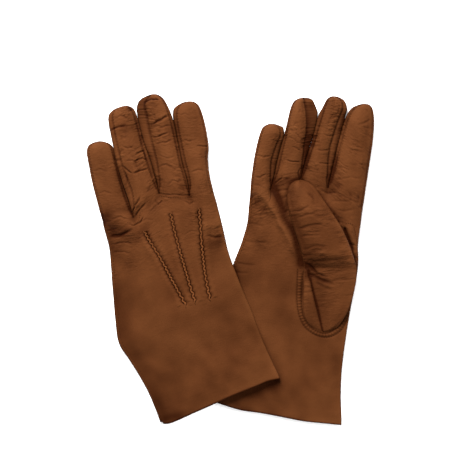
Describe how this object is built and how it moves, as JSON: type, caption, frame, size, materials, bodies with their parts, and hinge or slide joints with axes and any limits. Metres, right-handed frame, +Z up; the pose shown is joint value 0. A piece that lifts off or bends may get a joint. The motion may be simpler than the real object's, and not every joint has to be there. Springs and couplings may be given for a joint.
{
  "type": "leather gloves",
  "caption": "Flat-laid leather dress gloves, lined, with fourchettes, folded thumbs and stitched lines on the back; fingers fold up and thumbs swing.",
  "frame": {"origin": "the middle of the pair's box in plan, on the surface the gloves lie on", "axes": "+Z up from the surface, +Y towards the fingertips, +X to the right seen from above"},
  "size_m": [0.2438, 0.2806, 0.0183],
  "materials": {
    "leather": "satin",
    "leather_edge": "satin",
    "lining": "matte",
    "thread": "satin"
  },
  "bodies": {
    "right_hand": {"right_back_panel": "leather", "right_palm_panel": "leather", "right_little_side_seam": "leather_edge", "right_index_side_fold": "leather_edge", "right_lining_back": "lining", "right_lining_palm": "lining"},
    "left_hand": {"left_back_panel": "leather", "left_palm_panel": "leather", "left_little_side_seam": "leather_edge", "left_index_side_fold": "leather_edge", "left_lining_back": "lining", "left_lining_palm": "lining", "left_point_ring": "thread", "left_point_middle": "thread", "left_point_index": "thread"},
    "right_little_finger": {"right_little_back": "leather", "right_little_palm": "leather", "right_little_outer_seam": "leather_edge", "right_little_fourchette_b": "leather_edge"},
    "right_ring_finger": {"right_ring_back": "leather", "right_ring_palm": "leather", "right_ring_fourchette_a": "leather_edge", "right_ring_fourchette_b": "leather_edge"},
    "right_middle_finger": {"right_middle_back": "leather", "right_middle_palm": "leather", "right_middle_fourchette_a": "leather_edge", "right_middle_fourchette_b": "leather_edge"},
    "right_index_finger": {"right_index_back": "leather", "right_index_palm": "leather", "right_index_fourchette_a": "leather_edge", "right_index_outer_fold": "leather_edge"},
    "right_thumb": {"right_thumb_front": "leather", "right_thumb_rear": "leather", "right_thumb_fold_side": "leather_edge", "right_thumb_seam_side": "leather_edge"},
    "left_little_finger": {"left_little_back": "leather", "left_little_palm": "leather", "left_little_outer_seam": "leather_edge", "left_little_fourchette_b": "leather_edge"},
    "left_ring_finger": {"left_ring_back": "leather", "left_ring_palm": "leather", "left_ring_fourchette_a": "leather_edge", "left_ring_fourchette_b": "leather_edge"},
    "left_middle_finger": {"left_middle_back": "leather", "left_middle_palm": "leather", "left_middle_fourchette_a": "leather_edge", "left_middle_fourchette_b": "leather_edge"},
    "left_index_finger": {"left_index_back": "leather", "left_index_palm": "leather", "left_index_fourchette_a": "leather_edge", "left_index_outer_fold": "leather_edge"},
    "left_thumb": {"left_thumb_front": "leather", "left_thumb_rear": "leather", "left_thumb_fold_side": "leather_edge", "left_thumb_seam_side": "leather_edge"}
  },
  "joints": [
    {"name": "right_little_curl", "type": "hinge", "parent": "right_hand", "child": "right_little_finger", "pos_m": [0.027, 0.0655, 0.0084], "axis": [0.9854, -0.1702, 0], "range_deg": [0, 80]},
    {"name": "right_ring_curl", "type": "hinge", "parent": "right_hand", "child": "right_ring_finger", "pos_m": [0.051, 0.0735, 0.0084], "axis": [0.9803, -0.1977, 0], "range_deg": [0, 80]},
    {"name": "right_middle_curl", "type": "hinge", "parent": "right_hand", "child": "right_middle_finger", "pos_m": [0.0735, 0.069, 0.0084], "axis": [0.9751, -0.2215, 0], "range_deg": [0, 80]},
    {"name": "right_index_curl", "type": "hinge", "parent": "right_hand", "child": "right_index_finger", "pos_m": [0.1005, 0.061, 0.0084], "axis": [0.9848, -0.1736, 0], "range_deg": [0, 80]},
    {"name": "right_thumb_swing", "type": "hinge", "parent": "right_hand", "child": "right_thumb", "pos_m": [0.0825, -0.0425, 0.013], "axis": [0, 0, 1], "range_deg": [-40, 25]},
    {"name": "left_glove_lift", "type": "slide", "parent": "right_hand", "child": "left_hand", "axis": [0, 0, 1], "range_m": [0, 0.12]},
    {"name": "left_little_curl", "type": "hinge", "parent": "left_hand", "child": "left_little_finger", "pos_m": [-0.097, 0.0375, 0.0172], "axis": [0.9686, 0.2487, 0], "range_deg": [0, 70]},
    {"name": "left_ring_curl", "type": "hinge", "parent": "left_hand", "child": "left_ring_finger", "pos_m": [-0.073, 0.0575, 0.0172], "axis": [0.9681, 0.2504, 0], "range_deg": [0, 70]},
    {"name": "left_middle_curl", "type": "hinge", "parent": "left_hand", "child": "left_middle_finger", "pos_m": [-0.0485, 0.0645, 0.0172], "axis": [0.9724, 0.2334, 0], "range_deg": [0, 70]},
    {"name": "left_index_curl", "type": "hinge", "parent": "left_hand", "child": "left_index_finger", "pos_m": [-0.024, 0.061, 0.0172], "axis": [0.9863, 0.165, 0], "range_deg": [0, 70]},
    {"name": "left_thumb_swing", "type": "hinge", "parent": "left_hand", "child": "left_thumb", "pos_m": [-0.02, -0.036, 0.0042], "axis": [0, 0, 1], "range_deg": [-16, 28]}
  ]
}
